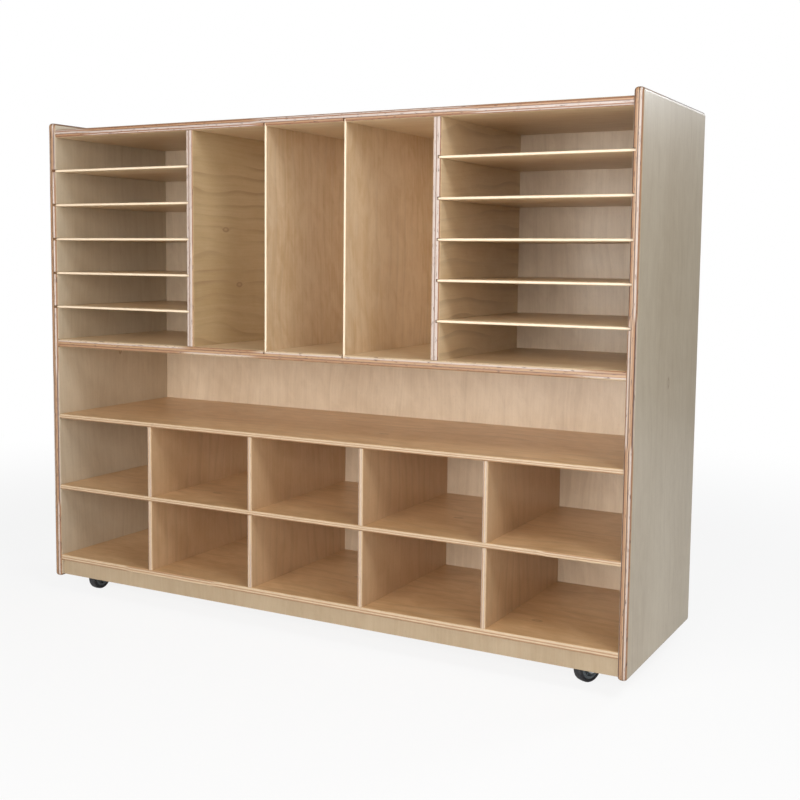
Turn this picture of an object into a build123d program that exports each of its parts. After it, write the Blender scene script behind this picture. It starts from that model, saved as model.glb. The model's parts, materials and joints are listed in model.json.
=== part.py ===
from build123d import *
import os

# Mobile storage cabinet of birch plywood on four swivel casters.
# Millimetres. Origin on the floor under the middle of the cabinet.
# +X to the right, +Y to the back, +Z up.

# Overall size: 48 in wide, 15 in deep and 38 in high, standing on its casters.
inch = 25.4
overall_width = 48 * inch
overall_depth = 15 * inch
overall_height = 38 * inch
floor_gap = 37.0              # floor to the underside of the side panels

# Plywood thicknesses.
carcass_stock = 15.9          # sides, top, middle shelf and heavy dividers
shelf_stock = 9.2             # display shelf, cubby shelf and cubby dividers
bottom_stock = 11.5
leaf_stock = 4.8              # slide-in paper shelves and light dividers
back_stock = 6.4
kick_stock = 12.0

# Clear heights of the spaces. The display space takes the height that is left.
top_lip = 12.7                # the side panels stand this far above the top panel
slot_clear = 63.6
slots_per_column = 6
cubby_clear = 138.2
caster_height = 70.7          # floor to the underside of the bottom shelf
kick_rise = 3.5               # the kickboards stop this far above the side panels' feet

# Clear widths of the spaces. The third tall bay takes the width that is left.
left_column_clear = 329.0
right_column_clear = 325.0
first_bay_clear = 160.5
second_bay_clear = 162.5
cubbies_per_row = 5

# Setbacks from the side panels' front and back edges.
member_setback = 4.0
leaf_setback = 8.0
kick_setback = 10.0
back_inset = 25.4             # back panel's rear face to the side panels' back edges

# Rounded edges.
side_corner_radius = 7.0
side_edge_round = 6.0
carcass_edge_round = 4.0
shelf_edge_round = 2.6
leaf_edge_round = 1.9

# Joinery.
glue_gap = 0.1                # around every glued joint
side_housing = 5.0            # depth of the housings in the side panels
heavy_housing = 5.0           # heavy dividers into the top panel and the middle shelf
light_housing = 2.5           # cubby dividers into their shelves
housing_stop = 12.0           # stopped tongues end this far from a board's rounded edge
top_shoulder = 5.0            # top panel's tongues stay this far under its upper face
back_groove = 5.0
leaf_groove = 6.0
leaf_clearance = 0.3          # around a leaf in its groove, and behind it
dowel_radius = 3.0
dowel_length = 30.0
dowel_in_side = 9.0
dowels_per_end = 2
cutter_overrun = 1.0          # an open groove or a through hole is cut this far past its board

# Casters.
wheel_radius = 25.0
wheel_width = 17.0
tyre_wall = 7.0
tyre_edge_round = 3.0
hub_rim_wall = 4.5
hub_recess_depth = 5.0
caster_trail = 13.0           # swivel axis to axle, seen from above
left_caster_inset = 37.7      # side panel's inner face to the swivel axis
right_caster_inset = 79.2
swing_clearance = 1.5         # wheel to kickboard as the caster turns
plate_width = 50.0
plate_length = 60.0
plate_thickness = 3.0
plate_corner_radius = 4.0
plate_hole_inset = 6.5
screw_radius = 2.2
screw_head_radius = 4.0
screw_head_height = 2.4
screw_depth = 8.5             # into the bottom shelf
ball_radius = 2.0
ball_count = 14
ball_clearance = 0.1
race_radius = 13.0            # circle of the balls' centres
race_wall = 1.6
fork_sheet = 2.0
fork_side_clearance = 1.5     # wheel to fork leg
fork_boss_radius = 8.0
axle_radius = 4.0
axle_head_radius = 6.5
axle_head_height = 3.2
kingpin_radius = 5.0
kingpin_head_radius = 7.5
kingpin_head_height = 2.0
fixed_clearance = 0.05        # round a pin that doesn't turn in its hole
running_clearance = 0.08      # round a pin that something turns on
swivel_end_play = 0.2

# How far each caster has turned at rest: degrees anticlockwise, seen from above. At 0 it trails
# straight to the back.
caster_turn = {
    "front_left": -3.0,
    "front_right": -28.0,
    "rear_left": -12.0,
    "rear_right": 6.0,
}

# Places that follow from the sizes above.
front = -overall_depth / 2
back = overall_depth / 2
inner_x = overall_width / 2 - carcass_stock
top_upper = overall_height - top_lip
top_under = top_upper - carcass_stock
leaf_pitch = slot_clear + leaf_stock
mid_upper = top_under - slots_per_column * slot_clear - (slots_per_column - 1) * leaf_stock
mid_under = mid_upper - carcass_stock
bottom_under = caster_height
bottom_upper = bottom_under + bottom_stock
cubby_under = bottom_upper + cubby_clear
cubby_upper = cubby_under + shelf_stock
display_under = cubby_upper + cubby_clear
display_upper = display_under + shelf_stock
member_front = front + member_setback
member_back = back - member_setback
leaf_front = front + leaf_setback
back_face = back - back_inset - back_stock
shelf_back = back_face - glue_gap
left_divider_x = -inner_x + left_column_clear
right_divider_x = inner_x - right_column_clear - carcass_stock
light_divider_x = [
    left_divider_x + carcass_stock + first_bay_clear,
    left_divider_x + carcass_stock + first_bay_clear + leaf_stock + second_bay_clear,
]
cubby_width = (2 * inner_x - (cubbies_per_row - 1) * shelf_stock) / cubbies_per_row
cubby_divider_x = [
    -inner_x + (i + 1) * cubby_width + i * shelf_stock for i in range(cubbies_per_row - 1)
]
leaf_z = [top_under - (i + 1) * leaf_pitch for i in range(slots_per_column - 1)]
kick_under = floor_gap + kick_rise
kick_front = front + kick_setback
kick_inner = kick_front + kick_stock
kick_mid_z = (kick_under + bottom_under - glue_gap) / 2
dowel_spacing = (bottom_under - kick_under) / dowels_per_end
plate_under = caster_height - plate_thickness
fork_top = plate_under - 2 * (ball_radius + ball_clearance)
fork_under = fork_top - fork_sheet
cup_radius = race_radius + ball_radius + ball_clearance
leg_gap = wheel_width / 2 + fork_side_clearance
swivel_y = -(kick_inner + caster_trail + wheel_radius + swing_clearance)
caster_places = {
    "front_left": (-inner_x + left_caster_inset, -swivel_y),
    "front_right": (inner_x - right_caster_inset, -swivel_y),
    "rear_left": (-inner_x + left_caster_inset, swivel_y),
    "rear_right": (inner_x - right_caster_inset, swivel_y),
}
plate_holes = [
    (sx * (plate_width / 2 - plate_hole_inset), sy * (plate_length / 2 - plate_hole_inset))
    for sx in (-1, 1) for sy in (-1, 1)
]


def board(low, high):
    """A square-edged board between two opposite corners."""
    size = [b - a for a, b in zip(low, high)]
    middle = [(a + b) / 2 for a, b in zip(low, high)]
    return Pos(*middle) * Box(*size)


def round_front(solid, along, radius):
    """Round the two long edges at the front of a board."""
    return fillet(solid.edges().filter_by(along).group_by(Axis.Y)[0], radius)


def round_back(solid, along, radius):
    """Round the two long edges at the back of a board."""
    return fillet(solid.edges().filter_by(along).group_by(Axis.Y)[-1], radius)


def rod(radius, start, length, axis):
    """A cylinder that runs from start along +X, +Y or +Z."""
    return Plane(origin=start, z_dir=axis) * Cylinder(
        radius, length, align=(Align.CENTER, Align.CENTER, Align.MIN))


def top_tongues(gap):
    """The stopped tongues at the top panel's ends, or with a gap the housings round them."""
    reach = inner_x + side_housing - glue_gap + gap
    return board((-reach, member_front + housing_stop - gap, top_under - gap),
                 (reach, member_back - housing_stop + gap, top_upper - top_shoulder + gap))


def shelf_housings():
    """The housings for the four full-width shelves, as they cut both side panels."""
    reach = inner_x + side_housing
    shelves = [
        (mid_under, mid_upper, shelf_back),
        (display_under, display_upper, shelf_back),
        (cubby_under, cubby_upper, shelf_back),
        (bottom_under, bottom_upper, member_back),
    ]
    return [
        board((-reach, member_front - glue_gap, low - glue_gap),
              (reach, rear + glue_gap, high + glue_gap))
        for low, high, rear in shelves
    ]


def leaf_grooves(x_low, x_high):
    """Grooves for one column of paper shelves, open at the front."""
    return [
        board((x_low - leaf_groove, front - cutter_overrun, z - leaf_clearance),
              (x_high + leaf_groove, back_face, z + leaf_stock + leaf_clearance))
        for z in leaf_z
    ]


def back_panel_groove():
    """The groove that holds the back panel on all four sides."""
    return board(
        (-inner_x - back_groove, back_face - glue_gap, bottom_upper - back_groove),
        (inner_x + back_groove, back_face + back_stock + glue_gap, top_under + back_groove))


def dowel_places():
    """Each kickboard dowel: its start and the side it enters."""
    places = []
    for y_mid in (kick_front + kick_stock / 2, -kick_front - kick_stock / 2):
        for i in range(dowels_per_end):
            z = kick_mid_z + (i - (dowels_per_end - 1) / 2) * dowel_spacing
            places.append((-inner_x - dowel_in_side, y_mid, z))
            places.append((inner_x + dowel_in_side - dowel_length, y_mid, z))
    return places


def dowel_holes():
    """Holes for the kickboard dowels."""
    return [rod(dowel_radius + fixed_clearance, place, dowel_length, (1, 0, 0))
            for place in dowel_places()]


def side_panel(sign):
    """A side panel, sign -1 for the left and +1 for the right."""
    x_pair = sorted((sign * inner_x, sign * overall_width / 2))
    panel = board((x_pair[0], front, floor_gap), (x_pair[1], back, overall_height))
    panel = fillet(panel.edges().filter_by(Axis.X), side_corner_radius)
    rims = panel.faces().filter_by(Axis.X).edges()
    panel = fillet(rims, side_edge_round)
    if sign < 0:
        grooves = leaf_grooves(-inner_x, left_divider_x)
    else:
        grooves = leaf_grooves(right_divider_x + carcass_stock, inner_x)
    panel = panel - shelf_housings() - top_tongues(glue_gap)
    return panel - grooves - back_panel_groove() - dowel_holes()


def full_width_shelf(z_low, z_high, rear):
    """A shelf that runs from housing to housing between the side panels."""
    reach = inner_x + side_housing - glue_gap
    return board((-reach, member_front, z_low), (reach, rear, z_high))


def upright(x, stock, z_low, z_high, housing):
    """A vertical board with a stopped tongue above and below."""
    body = board((x, member_front, z_low + glue_gap), (x + stock, shelf_back, z_high - glue_gap))
    tongue = board((x, member_front + housing_stop, z_low - housing + glue_gap),
                   (x + stock, shelf_back, z_high + housing - glue_gap))
    return body, tongue


def upright_housing(x, stock, z_low, z_high, housing):
    """The pocket that an upright's tongues enter."""
    return board((x - glue_gap, member_front + housing_stop - glue_gap, z_low - housing),
                 (x + stock + glue_gap, shelf_back + glue_gap, z_high + housing))


def heavy_housings():
    """Housings for the two heavy dividers."""
    return [upright_housing(x, carcass_stock, mid_upper, top_under, heavy_housing)
            for x in (left_divider_x, right_divider_x)]


def cubby_housings(z_low, z_high):
    """Housings for one row of cubby dividers."""
    return [upright_housing(x, shelf_stock, z_low, z_high, light_housing)
            for x in cubby_divider_x]


def light_divider_grooves():
    """Grooves for the two light dividers, open at the front."""
    return [
        board((x - leaf_clearance, front - cutter_overrun, mid_upper - leaf_groove),
              (x + leaf_stock + leaf_clearance, back_face, top_under + leaf_groove))
        for x in light_divider_x
    ]


def top_panel():
    """The top panel, which ends at the side panels with a stopped tongue into each."""
    reach = inner_x - glue_gap
    panel = board((-reach, member_front, top_under), (reach, member_back, top_upper))
    panel = round_back(round_front(panel, Axis.X, carcass_edge_round), Axis.X, carcass_edge_round)
    panel = panel + top_tongues(0)
    return panel - heavy_housings() - light_divider_grooves() - back_panel_groove()


def mid_shelf():
    """The heavy shelf under the paper columns."""
    shelf = round_front(full_width_shelf(mid_under, mid_upper, shelf_back),
                        Axis.X, carcass_edge_round)
    return shelf - heavy_housings() - light_divider_grooves()


def display_shelf():
    """The shelf over the upper cubbies."""
    shelf = round_front(full_width_shelf(display_under, display_upper, shelf_back),
                        Axis.X, shelf_edge_round)
    return shelf - cubby_housings(cubby_upper, display_under)


def cubby_shelf():
    """The shelf between the two rows of cubbies."""
    shelf = round_front(full_width_shelf(cubby_under, cubby_upper, shelf_back),
                        Axis.X, shelf_edge_round)
    return (shelf - cubby_housings(cubby_upper, display_under)
            - cubby_housings(bottom_upper, cubby_under))


def screw_holes():
    """Pilot holes in the bottom shelf for the caster screws."""
    return [
        rod(screw_radius + fixed_clearance, (x + hx, y + hy, bottom_under),
            screw_depth + fixed_clearance, (0, 0, 1))
        for x, y in caster_places.values() for hx, hy in plate_holes
    ]


def bottom_shelf():
    """The lowest shelf, which carries the casters."""
    shelf = full_width_shelf(bottom_under, bottom_upper, member_back)
    shelf = round_back(round_front(shelf, Axis.X, shelf_edge_round), Axis.X, shelf_edge_round)
    return shelf - cubby_housings(bottom_upper, cubby_under) - back_panel_groove() - screw_holes()


def heavy_divider(x, grooves):
    """A heavy upright beside a column of paper shelves."""
    body, tongue = upright(x, carcass_stock, mid_upper, top_under, heavy_housing)
    return round_front(body, Axis.Z, carcass_edge_round) + tongue - grooves


def cubby_divider(x, z_low, z_high):
    """A short upright between two cubbies."""
    body, tongue = upright(x, shelf_stock, z_low, z_high, light_housing)
    return round_front(body, Axis.Z, shelf_edge_round) + tongue


def paper_shelf(x_low, x_high, z):
    """A thin slide-in shelf, in grooves at both ends."""
    reach = leaf_groove - leaf_clearance
    leaf = board((x_low - reach, leaf_front, z),
                 (x_high + reach, back_face - leaf_clearance, z + leaf_stock))
    return round_front(leaf, Axis.X, leaf_edge_round)


def light_divider(x):
    """A thin slide-in upright between two tall bays."""
    reach = leaf_groove - leaf_clearance
    leaf = board((x, leaf_front, mid_upper - reach),
                 (x + leaf_stock, back_face - leaf_clearance, top_under + reach))
    return round_front(leaf, Axis.Z, leaf_edge_round)


def back_panel():
    """The thin back, held in a groove on all four sides."""
    reach = inner_x + back_groove - glue_gap
    return board((-reach, back_face, bottom_upper - back_groove + glue_gap),
                 (reach, back_face + back_stock, top_under + back_groove - glue_gap))


def kickboard(sign):
    """A kickboard under the bottom shelf, sign -1 for the front and +1 for the rear."""
    y_pair = sorted((-sign * kick_front, -sign * kick_inner))
    reach = inner_x - glue_gap
    kick = board((-reach, y_pair[0], kick_under), (reach, y_pair[1], bottom_under - glue_gap))
    return kick - dowel_holes()


def kickboard_dowels():
    """The dowels that tie both kickboards to the side panels."""
    return [rod(dowel_radius, place, dowel_length, (1, 0, 0)) for place in dowel_places()]


def caster_plate():
    """The steel plate of a caster, screwed under the bottom shelf. Every caster piece is made
    round a swivel axis at x = 0, y = 0, with the wheel trailing to the back."""
    plate = board((-plate_width / 2, -plate_length / 2, plate_under),
                  (plate_width / 2, plate_length / 2, caster_height))
    plate = fillet(plate.edges().filter_by(Axis.Z), plate_corner_radius)
    cut_low = plate_under - cutter_overrun
    cut_length = plate_thickness + 2 * cutter_overrun
    holes = [rod(screw_radius + fixed_clearance, (hx, hy, cut_low), cut_length, (0, 0, 1))
             for hx, hy in plate_holes]
    pin_hole = rod(kingpin_radius + fixed_clearance, (0, 0, cut_low), cut_length, (0, 0, 1))
    return plate - holes - pin_hole


def fork_leg(x):
    """One leg of a fork, from the swivel cup down to the axle boss, lying in the YZ plane."""
    crown_low = fork_under - fork_sheet
    crown = board((x, -cup_radius, crown_low), (x + fork_sheet, cup_radius, fork_top))
    outline = Polyline(
        (x, -cup_radius, crown_low),
        (x, caster_trail - fork_boss_radius, wheel_radius),
        (x, caster_trail + fork_boss_radius, wheel_radius),
        (x, cup_radius, crown_low),
        close=True)
    web = extrude(make_face(outline), amount=fork_sheet, dir=(1, 0, 0))
    boss = rod(fork_boss_radius, (x, caster_trail, wheel_radius), fork_sheet, (1, 0, 0))
    return crown + web + boss


def caster_fork():
    """The swivel fork of a caster: cup for the balls, crown and two legs."""
    cup = Pos(0, 0, fork_under) * Cylinder(
        cup_radius + race_wall, 2 * ball_radius + fork_sheet,
        align=(Align.CENTER, Align.CENTER, Align.MIN))
    bowl = Pos(0, 0, fork_top) * Cylinder(
        cup_radius, 2 * ball_radius + cutter_overrun,
        align=(Align.CENTER, Align.CENTER, Align.MIN))
    reach = leg_gap + fork_sheet
    crown = board((-reach, -cup_radius, fork_under), (reach, cup_radius, fork_top))
    legs = fork_leg(-reach) + fork_leg(leg_gap)
    pin_hole = rod(kingpin_radius + running_clearance, (0, 0, fork_under - cutter_overrun),
                   fork_sheet + 2 * cutter_overrun, (0, 0, 1))
    cut_reach = reach + cutter_overrun
    axle_hole = rod(axle_radius + fixed_clearance, (-cut_reach, caster_trail, wheel_radius),
                    2 * cut_reach, (1, 0, 0))
    return cup + crown + legs - bowl - pin_hole - axle_hole


def caster_axle():
    """The axle bolt of a caster, with its head and nut outside the fork legs."""
    reach = leg_gap + fork_sheet
    end = (-reach - axle_head_height, caster_trail, wheel_radius)
    shank = rod(axle_radius, end, 2 * (reach + axle_head_height), (1, 0, 0))
    head = rod(axle_head_radius, end, axle_head_height - fixed_clearance, (1, 0, 0))
    nut_outline = Plane(
        origin=(reach + fixed_clearance, caster_trail, wheel_radius),
        z_dir=(1, 0, 0)) * RegularPolygon(axle_head_radius, 6)
    nut = extrude(nut_outline, amount=axle_head_height - fixed_clearance)
    return shank + head + nut


def wheel_hub():
    """The moulded hub, which turns on the axle, dished on both sides round its boss."""
    hub_radius = wheel_radius - tyre_wall
    rim = rod(hub_radius, (-wheel_width / 2, caster_trail, wheel_radius), wheel_width, (1, 0, 0))
    recesses = [
        rod(hub_radius - hub_rim_wall, (start, caster_trail, wheel_radius),
            hub_recess_depth, (1, 0, 0))
        - rod(axle_head_radius, (start, caster_trail, wheel_radius), hub_recess_depth, (1, 0, 0))
        for start in (-wheel_width / 2, wheel_width / 2 - hub_recess_depth)
    ]
    cut_reach = wheel_width / 2 + cutter_overrun
    bore = rod(axle_radius + running_clearance,
               (-cut_reach, caster_trail, wheel_radius), 2 * cut_reach, (1, 0, 0))
    return rim - recesses - bore


def wheel_tyre():
    """The rubber tyre round the hub, its tread rounded into its sides."""
    tread = rod(wheel_radius, (-wheel_width / 2, caster_trail, wheel_radius),
                wheel_width, (1, 0, 0))
    tread = fillet(tread.edges().filter_by(GeomType.CIRCLE), tyre_edge_round)
    cut_reach = wheel_width / 2 + cutter_overrun
    seat = rod(wheel_radius - tyre_wall + fixed_clearance,
               (-cut_reach, caster_trail, wheel_radius), 2 * cut_reach, (1, 0, 0))
    return tread - seat


def kingpin():
    """The rivet that holds a fork up to its plate."""
    head_low = (0, 0, fork_under - swivel_end_play - kingpin_head_height)
    shank = rod(kingpin_radius, head_low, caster_height - head_low[2], (0, 0, 1))
    head = rod(kingpin_head_radius, head_low, kingpin_head_height, (0, 0, 1))
    return shank + head


def swivel_balls():
    """The ring of balls between a plate and its fork."""
    ring = PolarLocations(race_radius, ball_count)
    return [Pos(0, 0, plate_under - ball_radius - ball_clearance) * place * Sphere(ball_radius)
            for place in ring]


def caster_screws():
    """The four pan-head screws of one caster."""
    screws = []
    for hx, hy in plate_holes:
        head_low = (hx, hy, plate_under - screw_head_height)
        head = rod(screw_head_radius, head_low, screw_head_height, (0, 0, 1))
        head = fillet(head.edges().group_by(Axis.Z)[0], screw_head_height / 2)
        shank = rod(screw_radius, head_low, screw_head_height + plate_thickness + screw_depth,
                    (0, 0, 1))
        screws.append(head + shank)
    return screws


def carcass_nodes():
    """Every glued board of the cabinet."""
    left_grooves = leaf_grooves(-inner_x, left_divider_x)
    right_grooves = leaf_grooves(right_divider_x + carcass_stock, inner_x)
    nodes = {
        "left_side_panel": side_panel(-1),
        "right_side_panel": side_panel(1),
        "top_panel": top_panel(),
        "mid_shelf": mid_shelf(),
        "left_divider": heavy_divider(left_divider_x, left_grooves),
        "right_divider": heavy_divider(right_divider_x, right_grooves),
        "display_shelf": display_shelf(),
        "cubby_shelf": cubby_shelf(),
        "bottom_shelf": bottom_shelf(),
        "back_panel": back_panel(),
        "front_kickboard": kickboard(-1),
        "rear_kickboard": kickboard(1),
        "kickboard_dowels": Compound(children=kickboard_dowels()),
    }
    for i, x in enumerate(cubby_divider_x, start=1):
        nodes[f"upper_cubby_divider_{i}"] = cubby_divider(x, cubby_upper, display_under)
        nodes[f"lower_cubby_divider_{i}"] = cubby_divider(x, bottom_upper, cubby_under)
    return nodes


def leaf_nodes():
    """Every slide-in leaf, numbered from the top and from the left."""
    nodes = {}
    for i, z in enumerate(leaf_z, start=1):
        nodes[f"left_paper_shelf_{i}"] = paper_shelf(-inner_x, left_divider_x, z)
        nodes[f"right_paper_shelf_{i}"] = paper_shelf(right_divider_x + carcass_stock, inner_x, z)
    for i, x in enumerate(light_divider_x, start=1):
        nodes[f"light_divider_{i}"] = light_divider(x)
    return nodes


def caster_nodes():
    """Every caster piece, with the like small parts of all four in one group each."""
    nodes = {}
    pins = []
    balls = []
    screws = []
    for corner, (x, y) in caster_places.items():
        place = Pos(x, y, 0)
        turned = place * Rot(0, 0, caster_turn[corner])
        nodes[f"{corner}_caster_plate"] = place * caster_plate()
        nodes[f"{corner}_caster_fork"] = turned * caster_fork()
        nodes[f"{corner}_caster_axle"] = turned * caster_axle()
        nodes[f"{corner}_wheel_hub"] = turned * wheel_hub()
        nodes[f"{corner}_wheel_tyre"] = turned * wheel_tyre()
        pins.append(place * kingpin())
        balls.extend(place * ball for ball in swivel_balls())
        screws.extend(place * screw for screw in caster_screws())
    nodes["kingpins"] = Compound(children=pins)
    nodes["swivel_balls"] = Compound(children=balls)
    nodes["caster_screws"] = Compound(children=screws)
    return nodes


os.makedirs("parts", exist_ok=True)
for name, shape in {**carcass_nodes(), **leaf_nodes(), **caster_nodes()}.items():
    export_step(shape, f"parts/{name}.step")
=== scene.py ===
import json
import math

import bpy
import numpy as np
from mathutils import Matrix, Vector


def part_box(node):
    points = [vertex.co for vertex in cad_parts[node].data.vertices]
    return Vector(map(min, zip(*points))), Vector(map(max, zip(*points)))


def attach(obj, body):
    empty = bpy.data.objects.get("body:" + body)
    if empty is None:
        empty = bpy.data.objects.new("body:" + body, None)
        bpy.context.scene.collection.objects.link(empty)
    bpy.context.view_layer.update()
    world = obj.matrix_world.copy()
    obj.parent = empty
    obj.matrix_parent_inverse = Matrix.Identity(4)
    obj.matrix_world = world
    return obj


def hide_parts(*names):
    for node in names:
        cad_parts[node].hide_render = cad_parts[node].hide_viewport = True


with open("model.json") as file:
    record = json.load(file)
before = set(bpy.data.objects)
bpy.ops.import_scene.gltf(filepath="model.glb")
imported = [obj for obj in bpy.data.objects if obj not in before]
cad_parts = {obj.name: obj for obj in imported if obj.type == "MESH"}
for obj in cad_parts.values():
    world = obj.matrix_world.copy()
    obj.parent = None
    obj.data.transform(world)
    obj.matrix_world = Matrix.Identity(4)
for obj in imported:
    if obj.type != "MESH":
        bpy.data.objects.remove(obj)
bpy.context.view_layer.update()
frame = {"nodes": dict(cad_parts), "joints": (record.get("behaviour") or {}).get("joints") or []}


# ---------------------------------------------------------------------------------------------
# The viewpoint. The cabinet is seen from the right of its open front, a little above its middle,
# through a plain lens whose centre lies a little off the middle of the frame.
# ---------------------------------------------------------------------------------------------
frame_px = 800.0
lens_px = 1184.09
centre_px = (369.04, 367.11)
eye = Vector((1.14606, -1.97468, 0.70802))
heading = math.radians(29.4754)
downward = math.radians(5.4306)
roll = math.radians(-0.4823)
sensor_mm = 36.0

lens = bpy.data.cameras.new("viewpoint")
lens.sensor_width = sensor_mm
lens.lens = lens_px * sensor_mm / frame_px
lens.shift_x = (frame_px / 2 - centre_px[0]) / frame_px
lens.shift_y = (centre_px[1] - frame_px / 2) / frame_px
lens.clip_end = 100.0
camera = bpy.data.objects.new("viewpoint", lens)
bpy.context.collection.objects.link(camera)
forward = Vector((-math.sin(heading) * math.cos(downward),
                  math.cos(heading) * math.cos(downward),
                  -math.sin(downward)))
level = Vector((math.cos(heading), math.sin(heading), 0.0))
right = math.cos(roll) * level + math.sin(roll) * forward.cross(level)
down = forward.cross(right)
turn = Matrix((right, -down, -forward)).transposed()
camera.matrix_world = Matrix.Translation(eye) @ turn.to_4x4()
bpy.context.scene.camera = camera


# ---------------------------------------------------------------------------------------------
# The studio. White ground that keeps a faint soft shadow. Three wide soft lights reach into the
# open shelves from the front and the right, and a cool one behind puts a sheen on the right side.
# ---------------------------------------------------------------------------------------------
class Wire:
    """A socket of a material, with arithmetic that adds its Math nodes."""

    def __init__(self, tree, socket=None):
        self.tree = tree
        self.socket = socket

    def put(self, entry, value):
        """Link or set one input socket."""
        if isinstance(value, Wire):
            self.tree.links.new(value.socket, entry)
        else:
            entry.default_value = value

    def node(self, kind, settings=None, sockets=None, out=0):
        """Any node: its type, its settings, which are set first, and its sockets' values or links."""
        made = self.tree.nodes.new(kind)
        for name, value in (settings or {}).items():
            if name == "stops":
                ramp = made.color_ramp
                while len(ramp.elements) < len(value):
                    ramp.elements.new(1.0)
                for element, (place, colour) in zip(ramp.elements, value):
                    element.position = place
                    element.color = colour
            else:
                setattr(made, name, value)
        for name, value in (sockets or {}).items():
            self.put(made.inputs[name], value)
        return Wire(self.tree, made.outputs[out])

    def maths(self, operation, *values):
        return self.node("ShaderNodeMath", {"operation": operation}, dict(enumerate(values)))

    def __add__(self, other):
        return self.maths("ADD", self, other)

    __radd__ = __add__

    def __sub__(self, other):
        return self.maths("SUBTRACT", self, other)

    def __rsub__(self, other):
        return self.maths("SUBTRACT", other, self)

    def __mul__(self, other):
        return self.maths("MULTIPLY", self, other)

    __rmul__ = __mul__

    def __truediv__(self, other):
        return self.maths("DIVIDE", self, other)

    def step(self, low, high):
        """0 below low, 1 above high, with a smooth rise between."""
        return self.node("ShaderNodeMapRange", {"interpolation_type": "SMOOTHSTEP"},
                         {0: self, 1: low, 2: high, 3: 0.0, 4: 1.0})

    def blend(self, first, second):
        """The colour first where self is 0 and second where it is 1."""
        return self.node("ShaderNodeMix", {"data_type": "RGBA"}, {0: self, 6: first, 7: second}, out=2)

    def vector(self, x, y, z):
        return self.node("ShaderNodeCombineXYZ", None, {0: x, 1: y, 2: z})

    def noise(self, place, scale=1.0, detail=2.0, roughness=0.5, warp=0.0, seed=0.0):
        return self.node("ShaderNodeTexNoise", {"noise_dimensions": "4D"},
                         {"Vector": place, "W": seed, "Scale": scale, "Detail": detail,
                          "Roughness": roughness, "Distortion": warp})


def new_material(name):
    """An empty material: itself, a Wire to add nodes with, and its surface socket."""
    made = bpy.data.materials.new(name)
    made.use_nodes = True
    made.node_tree.nodes.clear()
    output = made.node_tree.nodes.new("ShaderNodeOutputMaterial")
    return made, Wire(made.node_tree), output.inputs["Surface"]


def dress(objects, material):
    """Give some objects one material."""
    for piece in objects:
        piece.data.materials.clear()
        piece.data.materials.append(material)


def seen(wire):
    """1 for a ray from the camera, else 0."""
    return wire.node("ShaderNodeLightPath", out=0)


ground_half = 14.0
ground_white = (0.93, 0.93, 0.93, 1.0)
pure_white = (1.0, 1.0, 1.0, 1.0)
near_glow = 0.86
fade_from, fade_to = 1.0, 2.6


def white_ground():
    """Ground that looks part lit and part glowing near the cabinet, and pure white far from it."""
    made, wire, surface = new_material("white_ground")
    place = wire.node("ShaderNodeTexCoord", out=3)
    reach = wire.node("ShaderNodeVectorMath", {"operation": "LENGTH"}, {0: place}, out=1)
    glow = reach.step(fade_from, fade_to) * (1.0 - near_glow) + near_glow
    lit = wire.node("ShaderNodeBsdfDiffuse", None, {"Color": ground_white})
    white = wire.node("ShaderNodeEmission", None, {"Color": pure_white, "Strength": 1.0})
    mixed = wire.node("ShaderNodeMixShader", None, {0: glow * seen(wire), 1: lit, 2: white})
    wire.put(surface, mixed)
    return made


ground_mesh = bpy.data.meshes.new("white_ground")
ground_mesh.from_pydata([(-ground_half, -ground_half, 0), (ground_half, -ground_half, 0),
                         (ground_half, ground_half, 0), (-ground_half, ground_half, 0)],
                        [], [(0, 1, 2, 3)])
ground = bpy.data.objects.new("white_ground", ground_mesh)
bpy.context.collection.objects.link(ground)
dress([ground], white_ground())


def soft_light(name, place, aim, size, power, colour):
    """A square soft lamp at a place, turned towards what it lights."""
    lamp = bpy.data.lights.new(name, "AREA")
    lamp.shape = "SQUARE"
    lamp.size = size
    lamp.energy = power
    lamp.color = colour
    holder = bpy.data.objects.new(name, lamp)
    bpy.context.collection.objects.link(holder)
    holder.location = place
    holder.rotation_euler = (Vector(aim) - Vector(place)).to_track_quat("-Z", "Y").to_euler()


soft_light("front_light", (-0.2, -3.4, 1.0), (0.0, 0.0, 0.55), 2.0, 88.0, (1.0, 0.99, 0.97))
soft_light("camera_side_light", (1.3, -3.3, 1.4), (0.0, 0.0, 0.55), 1.6, 42.0, (1.0, 0.99, 0.97))
soft_light("right_light", (1.75, -1.15, 2.1), (0.4, -0.1, 0.85), 0.9, 24.0, (0.97, 0.99, 1.0))
soft_light("sheen_light", (1.7, 2.7, 1.9), (0.61, 0.0, 0.8), 1.0, 28.0, (0.90, 0.95, 1.0))
surround_light = 0.10
surround = bpy.data.worlds.new("white_surround")
bpy.context.scene.world = surround
surround.use_nodes = True
surround.node_tree.nodes.clear()
sky = Wire(surround.node_tree)
sky_output = surround.node_tree.nodes.new("ShaderNodeOutputWorld")
sky_light = sky.node("ShaderNodeBackground", None,
                     {"Color": pure_white,
                      "Strength": seen(sky) * (1.0 - surround_light) + surround_light})
sky.put(sky_output.inputs["Surface"], sky_light)
bpy.context.scene.view_settings.view_transform = "Standard"


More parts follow.
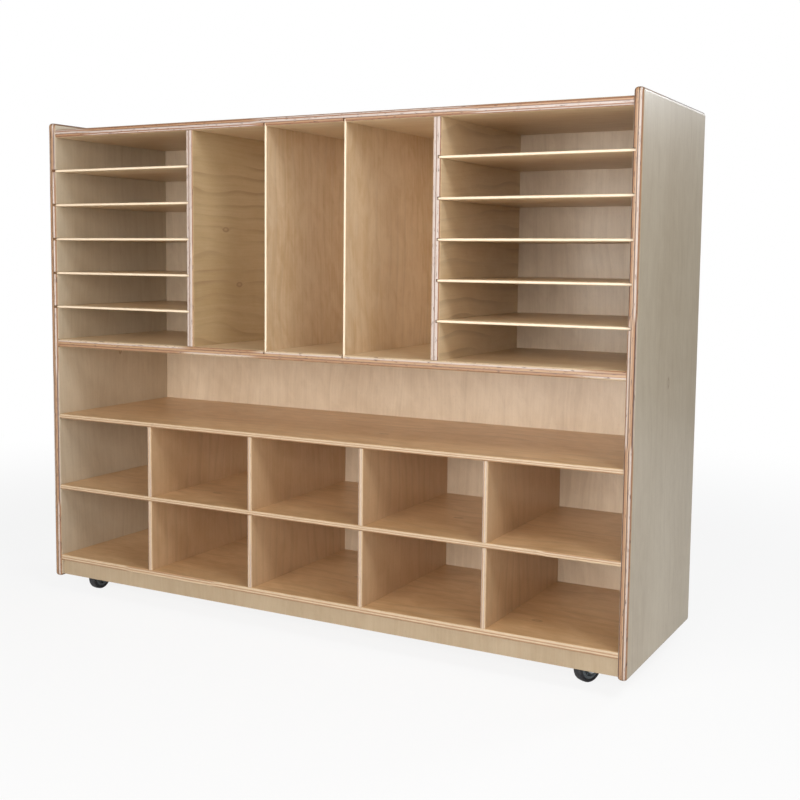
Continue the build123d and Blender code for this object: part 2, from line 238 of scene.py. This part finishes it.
# ---------------------------------------------------------------------------------------------
# The two side panels. Birch plywood 5/8 in thick with the grain upright, under a satin clear coat.
# Every edge is routed round, which bares the plies as pale and brown bands with dark dashes.
# ---------------------------------------------------------------------------------------------
veneer_skin = 0.0005
knot_length, knot_width = 0.012, 0.006
knot_bulge = 0.010
grain_wander = 0.07
lilac_ply = (0.47, 0.39, 0.345, 1.0)
cream_ply = (0.53, 0.40, 0.26, 1.0)
tan_ply = (0.39, 0.235, 0.125, 1.0)
brown_ply = (0.24, 0.11, 0.055, 1.0)
dark_ply = (0.075, 0.04, 0.028, 1.0)
side_plies = [
    (0.00, cream_ply), (0.08, lilac_ply), (0.11, dark_ply), (0.17, dark_ply), (0.20, brown_ply),
    (0.28, tan_ply), (0.36, brown_ply), (0.42, tan_ply), (0.50, tan_ply), (0.53, dark_ply),
    (0.60, dark_ply), (0.64, tan_ply), (0.70, lilac_ply), (0.82, lilac_ply), (0.86, brown_ply),
    (1.00, tan_ply),
]


def flipped(stops):
    """The same plies in the other order."""
    return [(1.0 - place, colour) for place, colour in reversed(stops)]


def shade(colour, amount):
    """A colour made darker by a factor."""
    return tuple(amount * part for part in colour[:3]) + (1.0,)


def birch(name, node, thickness, grain, pale, tan, seed, plies, lines=0.15, spacing=0.03,
          curl=0.4, knots=(), drift=0.035, dashes=0.8):
    """Plywood whose faces are square to thickness and whose face grain runs along grain.

    Depth under the nearer face tells veneer from edge. The face is streaked along a grain that
    wanders, with thin dark growth lines that bulge round each knot. The edge is a ramp of plies
    across the thickness, which drifts slowly along the board and swaps order in places. A knot is
    given by its distances from the low end of the board, along the grain and across it.
    """
    made, wire, surface = new_material(name)
    low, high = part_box(node)
    thick, along = "XYZ".index(thickness), "XYZ".index(grain)
    across = 3 - thick - along
    stock = high[thick] - low[thick]
    place = wire.node("ShaderNodeTexCoord", out=3)
    axes = [wire.node("ShaderNodeSeparateXYZ", None, {0: place}, out=i) for i in range(3)]
    g, c = axes[along], axes[across]
    t = (axes[thick] - low[thick]) / stock
    face = t.step(0.4, 0.6) * 5.0
    depth = wire.maths("MINIMUM", t, 1.0 - t) * stock
    cut = depth.step(veneer_skin * 0.6, veneer_skin)

    wander = wire.noise(wire.vector(c * 6.0, g * 2.6, face), detail=2.0, seed=seed * 1.7) - 0.5
    bent = c + wander * grain_wander
    eyes = 0.0
    for knot_along, knot_across in knots:
        step_g = (g - (low[along] + knot_along)) / knot_length
        step_c = (c - (low[across] + knot_across)) / knot_width
        swell = wire.maths("EXPONENT", (step_g * step_g + step_c * step_c) * -1.0)
        bent = bent + swell * knot_bulge
        ring = swell.step(0.35, 0.6) * (1.0 - swell.step(0.75, 0.95) * 0.7)
        eyes = wire.maths("MAXIMUM", eyes, ring)
    wave = wire.maths("FRACT", bent / spacing + wander * 2.0)
    line = wave.step(0.55, 0.93) * (1.0 - wave.step(0.94, 1.0))
    fade = wire.noise(wire.vector(c * 9.0, g * 5.0, face), seed=seed + 7.0).step(0.35, 0.65)
    soft = wire.noise(wire.vector(c * 7.0, g * 2.0, face), detail=1.0, seed=seed * 2.3)
    streak = wire.noise(wire.vector(bent * 210.0, g * 5.0, face), detail=2.0, seed=seed)
    quilt = wire.noise(wire.vector(bent * 38.0 + g * 6.0, g * 20.0, face), detail=2.0, roughness=0.6,
                       warp=0.6, seed=seed + 4.0)
    fibre = wire.noise(wire.vector(c * 640.0, g * 18.0, face), detail=2.0, roughness=0.6, seed=seed)
    pores = wire.noise(wire.vector(c * 1500.0, g * 130.0, face), detail=0.0, seed=seed).step(0.66, 0.76)
    tone = (soft - 0.5) * 0.9 + (streak - 0.5) * 0.55 + (quilt - 0.5) * curl * 1.6
    tone = tone + (fibre - 0.5) * 0.35 + 0.45
    veneer = tone.step(0.0, 1.0).blend(pale, tan)
    veneer = (line * fade * lines).blend(veneer, shade(tan_ply, 0.8))
    veneer = (pores * 0.22).blend(veneer, shade(tan, 0.5))
    if knots:
        veneer = (eyes * 0.6).blend(veneer, shade(tan_ply, 0.75))

    shift = (wire.noise(place, scale=4.0, detail=2.0, seed=seed + 1.0) - 0.5) * (2.0 * drift)
    patch = wire.noise(place, scale=3.5, detail=0.0, seed=seed + 2.0).step(0.55, 0.60)
    first, second = [wire.node("ShaderNodeValToRGB", {"stops": stops}, {0: t + shift})
                     for stops in (plies, flipped(plies))]
    edge = patch.blend(first, second)
    strands = wire.noise(wire.vector(t * 22.0, g * 28.0, c * 28.0), detail=3.0, roughness=0.7,
                         seed=seed + 3.0)
    edge = ((1.0 - strands.step(0.32, 0.50)) * 0.6).blend(edge, brown_ply)
    edge = (strands.step(0.58, 0.72) * 0.35).blend(edge, lilac_ply)
    dash = wire.noise(wire.vector(t * 11.0, g * 70.0, c * 70.0), detail=2.0, seed=seed + 5.0)
    edge = (dash.step(0.60, 0.66) * dashes).blend(edge, dark_ply)

    colour = cut.blend(veneer, edge)
    bump = wire.node("ShaderNodeBump", None,
                     {"Strength": 0.14, "Distance": 0.0004,
                      "Height": fibre * 0.5 + quilt * 0.4 + strands * cut * 0.6})
    shader = wire.node("ShaderNodeBsdfPrincipled", None,
                       {"Base Color": colour, "Roughness": 0.40 + (fibre - 0.5) * 0.12 + cut * 0.12,
                        "Normal": bump, "Coat Weight": 0.2, "Coat Roughness": 0.24})
    wire.put(surface, shader)
    return made


nodes = frame["nodes"]


def board(node, *look, **details):
    """Dress one board in a birch of its own."""
    dress([nodes[node]], birch(node + "_birch", node, *look, **details))


for seed, node in enumerate(("left_side_panel", "right_side_panel"), start=1):
    board(node, "X", "Z", (0.63, 0.535, 0.40, 1.0), (0.50, 0.40, 0.28, 1.0), seed, side_plies,
          lines=0.10, knots=[(0.46, 0.19)])


# ---------------------------------------------------------------------------------------------
# Top panel, middle shelf and the two heavy dividers. The same stock, with strongly banded fronts.
# The left divider shows a face with level grain, wavy growth lines and two pin knots.
# ---------------------------------------------------------------------------------------------
top_plies = [
    (0.00, tan_ply), (0.08, brown_ply), (0.13, lilac_ply), (0.20, lilac_ply), (0.23, brown_ply),
    (0.32, brown_ply), (0.36, lilac_ply), (0.54, lilac_ply), (0.57, dark_ply), (0.62, brown_ply),
    (0.72, tan_ply), (0.80, brown_ply), (0.90, brown_ply), (1.00, cream_ply),
]
mid_plies = [
    (0.00, tan_ply), (0.10, brown_ply), (0.16, tan_ply), (0.34, brown_ply), (0.38, dark_ply),
    (0.43, tan_ply), (0.62, tan_ply), (0.66, brown_ply), (0.72, lilac_ply), (0.92, cream_ply),
    (1.00, cream_ply),
]
divider_plies = [
    (0.00, tan_ply), (0.12, tan_ply), (0.16, lilac_ply), (0.42, lilac_ply), (0.46, dark_ply),
    (0.52, brown_ply), (0.56, lilac_ply), (0.84, lilac_ply), (0.88, brown_ply), (1.00, tan_ply),
]
wall_pale = (0.76, 0.59, 0.385, 1.0)
wall_tan = (0.62, 0.43, 0.24, 1.0)
board("top_panel", "Z", "X", wall_pale, wall_tan, 3, top_plies, dashes=0.9)
board("mid_shelf", "Z", "X", wall_pale, wall_tan, 4, mid_plies, dashes=0.9)
board("left_divider", "X", "Y", (0.61, 0.46, 0.27, 1.0), (0.48, 0.33, 0.165, 1.0), 5, divider_plies,
      lines=0.5, spacing=0.026, curl=0.25, knots=[(0.105, 0.228), (0.150, 0.120)])
board("right_divider", "X", "Y", (0.80, 0.63, 0.42, 1.0), (0.66, 0.475, 0.27, 1.0), 6, divider_plies,
      lines=0.3)


# ---------------------------------------------------------------------------------------------
# Display shelf, cubby shelf and bottom shelf. Thinner plywood with the grain along the cabinet, a
# warmer face, and plainer, yellowish front edges.
# ---------------------------------------------------------------------------------------------
shelf_plies = [
    (0.00, tan_ply), (0.16, tan_ply), (0.20, brown_ply), (0.28, cream_ply), (0.46, cream_ply),
    (0.50, brown_ply), (0.58, tan_ply), (0.70, cream_ply), (1.00, cream_ply),
]
shelf_knots = {"display_shelf": [(0.70, 0.12)], "cubby_shelf": [(0.84, 0.15), (0.33, 0.10)],
               "bottom_shelf": [(0.62, 0.17), (1.02, 0.09)]}
for seed, (node, knots) in enumerate(shelf_knots.items(), start=7):
    board(node, "Z", "X", (0.70, 0.46, 0.25, 1.0), (0.51, 0.30, 0.135, 1.0), seed, shelf_plies,
          lines=0.25, curl=0.6, spacing=0.04, knots=knots, dashes=0.35)


# ---------------------------------------------------------------------------------------------
# The eight cubby dividers. Short uprights of the same thin plywood with upright grain and pale,
# rounded front edges.
# ---------------------------------------------------------------------------------------------
upright_plies = [
    (0.00, cream_ply), (0.20, lilac_ply), (0.26, brown_ply), (0.32, tan_ply), (0.44, cream_ply),
    (0.66, lilac_ply), (0.72, tan_ply), (0.80, cream_ply), (1.00, cream_ply),
]
for row, row_seed in (("upper", 10), ("lower", 14)):
    for i in range(1, 5):
        board(f"{row}_cubby_divider_{i}", "X", "Z", (0.67, 0.46, 0.275, 1.0), (0.53, 0.33, 0.17, 1.0),
              row_seed + i, upright_plies, lines=0.2, dashes=0.35)


# ---------------------------------------------------------------------------------------------
# Ten paper shelves and two light dividers. Thin three-ply leaves with cream bullnosed fronts, which
# slide in grooves.
# ---------------------------------------------------------------------------------------------
bright_ply = (0.75, 0.62, 0.46, 1.0)
leaf_plies = [(0.00, cream_ply), (0.25, bright_ply), (0.80, bright_ply), (1.00, cream_ply)]
for column, column_seed in (("left", 20), ("right", 26)):
    for i in range(1, 6):
        board(f"{column}_paper_shelf_{i}", "Z", "X", wall_pale, wall_tan, column_seed + i, leaf_plies,
              dashes=0.1)
for i in (1, 2):
    board(f"light_divider_{i}", "X", "Z", (0.74, 0.57, 0.385, 1.0), (0.56, 0.37, 0.19, 1.0), 32 + i,
          leaf_plies, curl=0.6, dashes=0.1)


# ---------------------------------------------------------------------------------------------
# The back panel and both kickboards. A thin upright-grained panel in a groove, and two narrow
# boards under the bottom shelf, tied to the side panels by beech dowels.
# ---------------------------------------------------------------------------------------------
board("back_panel", "Y", "Z", (0.76, 0.62, 0.46, 1.0), (0.60, 0.46, 0.32, 1.0), 36, shelf_plies,
      lines=0.12, curl=0.55)
for seed, node in enumerate(("front_kickboard", "rear_kickboard"), start=37):
    board(node, "Y", "Z", (0.40, 0.305, 0.20, 1.0), (0.31, 0.225, 0.135, 1.0), seed, shelf_plies,
          lines=0.1)
dress([nodes["kickboard_dowels"]],
      birch("dowel_beech", "kickboard_dowels", "Z", "X", wall_pale, wall_tan, 39, leaf_plies,
            lines=0.0, dashes=0.0))


# ---------------------------------------------------------------------------------------------
# The steel of the four casters. Pressed plates and forks, riveted kingpins, balls, bolts and
# screws, all with a bright, faintly blue zinc plate.
# ---------------------------------------------------------------------------------------------
corners = ("front_left", "front_right", "rear_left", "rear_right")


def zinc_steel():
    """Bright zinc plate, with a faint blue cast, a fine spangle and soft smears."""
    made, wire, surface = new_material("zinc_steel")
    place = wire.node("ShaderNodeTexCoord", out=3)
    spangle = wire.noise(place, scale=260.0, detail=2.0)
    smear = wire.noise(place, scale=40.0, detail=3.0)
    colour = smear.step(0.3, 0.7).blend((0.50, 0.57, 0.62, 1.0), (0.70, 0.74, 0.76, 1.0))
    bump = wire.node("ShaderNodeBump", None,
                     {"Strength": 0.15, "Distance": 0.0002, "Height": spangle})
    shader = wire.node("ShaderNodeBsdfPrincipled", None,
                       {"Base Color": colour, "Metallic": 1.0, "Roughness": 0.26 + spangle * 0.18,
                        "Normal": bump})
    wire.put(surface, shader)
    return made


zinc = zinc_steel()
for corner in corners:
    dress([nodes[f"{corner}_caster_{part}"] for part in ("plate", "fork", "axle")], zinc)
dress([nodes[node] for node in ("kingpins", "swivel_balls", "caster_screws")], zinc)


# ---------------------------------------------------------------------------------------------
# The four wheels. A moulded hub with six ribs in its dish on each side, and a black rubber tyre
# with a raised seam round its tread and shallow rings in its walls, both dusty and scuffed.
# ---------------------------------------------------------------------------------------------
def moulded(name, colour, dusty, rough):
    """Moulded black rubber or plastic, with dust and fine scuffs."""
    made, wire, surface = new_material(name)
    place = wire.node("ShaderNodeTexCoord", out=3)
    grit = wire.noise(place, scale=900.0, detail=2.0)
    scuff = wire.noise(place, scale=90.0, detail=4.0, roughness=0.7)
    shaded = (scuff.step(0.5, 0.75) * 0.6).blend(colour, dusty)
    bump = wire.node("ShaderNodeBump", None,
                     {"Strength": 0.2, "Distance": 0.0002, "Height": grit})
    shader = wire.node("ShaderNodeBsdfPrincipled", None,
                       {"Base Color": shaded, "Roughness": rough + (scuff - 0.5) * 0.2,
                        "Normal": bump})
    wire.put(surface, shader)
    return made


def revolved(name, centre, axle, along, out):
    """A closed ring turned round an axle.

    along and out are grids, one row for each angle and one column for each point of the closed
    profile. A point is centre + along * axle + out * (cos a * flat + sin a * up), with flat and
    up square to the axle, and the angle a growing evenly from row to row. The corners of a face
    are in the order that points it inwards, which is an open fault.
    """
    around, count = out.shape
    axle = np.array(axle, float)
    up = np.array([0.0, 0.0, 1.0])
    flat = np.cross(up, axle)
    angle = np.linspace(0.0, 2.0 * np.pi, around, endpoint=False)[:, None, None]
    spoke = np.cos(angle) * flat + np.sin(angle) * up
    points = np.array(centre) + along[:, :, None] * axle + out[:, :, None] * spoke
    i, j = np.meshgrid(np.arange(around), np.arange(count), indexing="ij")
    k, m = (i + 1) % around, (j + 1) % count
    faces = np.stack([i * count + j, i * count + m, k * count + m, k * count + j], axis=-1)
    mesh = bpy.data.meshes.new(name)
    mesh.from_pydata(points.reshape(-1, 3).tolist(), [], faces.reshape(-1, 4).tolist())
    mesh.polygons.foreach_set("use_smooth", np.ones(len(mesh.polygons), bool))
    mesh.set_sharp_from_angle(angle=math.radians(35.0))
    piece = bpy.data.objects.new(name, mesh)
    bpy.context.collection.objects.link(piece)
    return piece


wheel_half = 0.0085
tyre_radius = 0.0250
hub_radius = 0.0180
shoulder = 0.0030
tread_crown, seam_height, seam_share = 0.0002, 0.0002, 0.2
tread_edge = tread_crown + seam_height
wall_rings, wall_ring_depth = 3, 0.0004
tyre_seat = 0.00005
hub_rim, hub_boss, hub_bore = 0.0135, 0.0065, 0.00408
dish_depth, dish_flank = 0.0046, 0.0004
rib_count, rib_share, rib_flank = 6, 0.16, 0.05
rib_sunk = 0.25
angles = 96


def tyre_profile():
    """The tyre's closed section: a crowned tread with a seam, round shoulders and ringed walls."""
    s = np.linspace(-1.0, 1.0, 17)
    tread = np.stack([s * (wheel_half - shoulder),
                      tyre_radius - tread_crown * s ** 2
                      - seam_height * (np.abs(s) > seam_share)], axis=1)
    bend = np.linspace(0.5 * np.pi, 0.0, 7)[1:]
    corner = np.stack([wheel_half - shoulder + shoulder * np.cos(bend),
                       tyre_radius - shoulder - tread_edge + shoulder * np.sin(bend)], axis=1)
    depth = np.linspace(0.05, 1.0, 20)
    wall_top, wall_low = tyre_radius - shoulder - tread_edge, hub_radius + tyre_seat
    wall = np.stack([wheel_half - wall_ring_depth * np.sin(wall_rings * np.pi * depth) ** 2,
                     wall_top + (wall_low - wall_top) * depth], axis=1)
    side = np.concatenate([corner, wall])
    mirrored = side[::-1] * np.array([-1.0, 1.0])
    return np.concatenate([tread, side, mirrored])


def hub_grids():
    """The hub's grids: a rim, a dish crossed by ribs that are as wide as their share of a turn,
    and a boss round the bore, the same on both sides."""
    out = np.array([hub_radius, hub_rim, hub_rim - dish_flank, hub_boss + dish_flank, hub_boss,
                    hub_bore])
    dished = np.array([0.0, 0.0, 1.0, 1.0, 0.0, 0.0])
    finer = np.linspace(0.0, 5.0, 26)
    radius = np.interp(finer, np.arange(6), out)
    dish = np.interp(finer, np.arange(6), dished)
    turn_share = (np.arange(angles) * rib_count / angles) % 1.0
    from_rib = np.minimum(turn_share, 1.0 - turn_share)
    open_share = np.clip((from_rib - rib_share / 2) / rib_flank, 0.0, 1.0)
    depth = dish_depth * dish * (rib_sunk + (1.0 - rib_sunk) * open_share[:, None])
    one_side = wheel_half - depth
    along = np.concatenate([one_side, -one_side[:, ::-1]], axis=1)
    reach = np.concatenate([radius, radius[::-1]])
    return along, np.tile(reach, (angles, 1))


rubber = moulded("tyre_rubber", (0.026, 0.027, 0.032, 1.0), (0.085, 0.090, 0.10, 1.0), 0.45)
plastic = moulded("hub_plastic", (0.095, 0.115, 0.130, 1.0), (0.20, 0.23, 0.25, 1.0), 0.35)
joints = {joint["name"]: joint for joint in frame["joints"]}
section = tyre_profile()
hub_along, hub_out = hub_grids()
for corner in corners:
    spin = joints[f"{corner}_wheel_spin"]
    tyre = revolved(f"{corner}_tyre", spin["pos_m"], spin["axis"],
                    np.tile(section[:, 0], (angles, 1)), np.tile(section[:, 1], (angles, 1)))
    hub = revolved(f"{corner}_hub", spin["pos_m"], spin["axis"], hub_along, hub_out)
    for piece, material, slot, part in ((tyre, rubber, "tyre_rubber", "tyre"),
                                        (hub, plastic, "hub_plastic", "hub")):
        dress([piece], material)
        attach(piece, f"{corner}_wheel")
        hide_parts(f"{corner}_wheel_{part}")
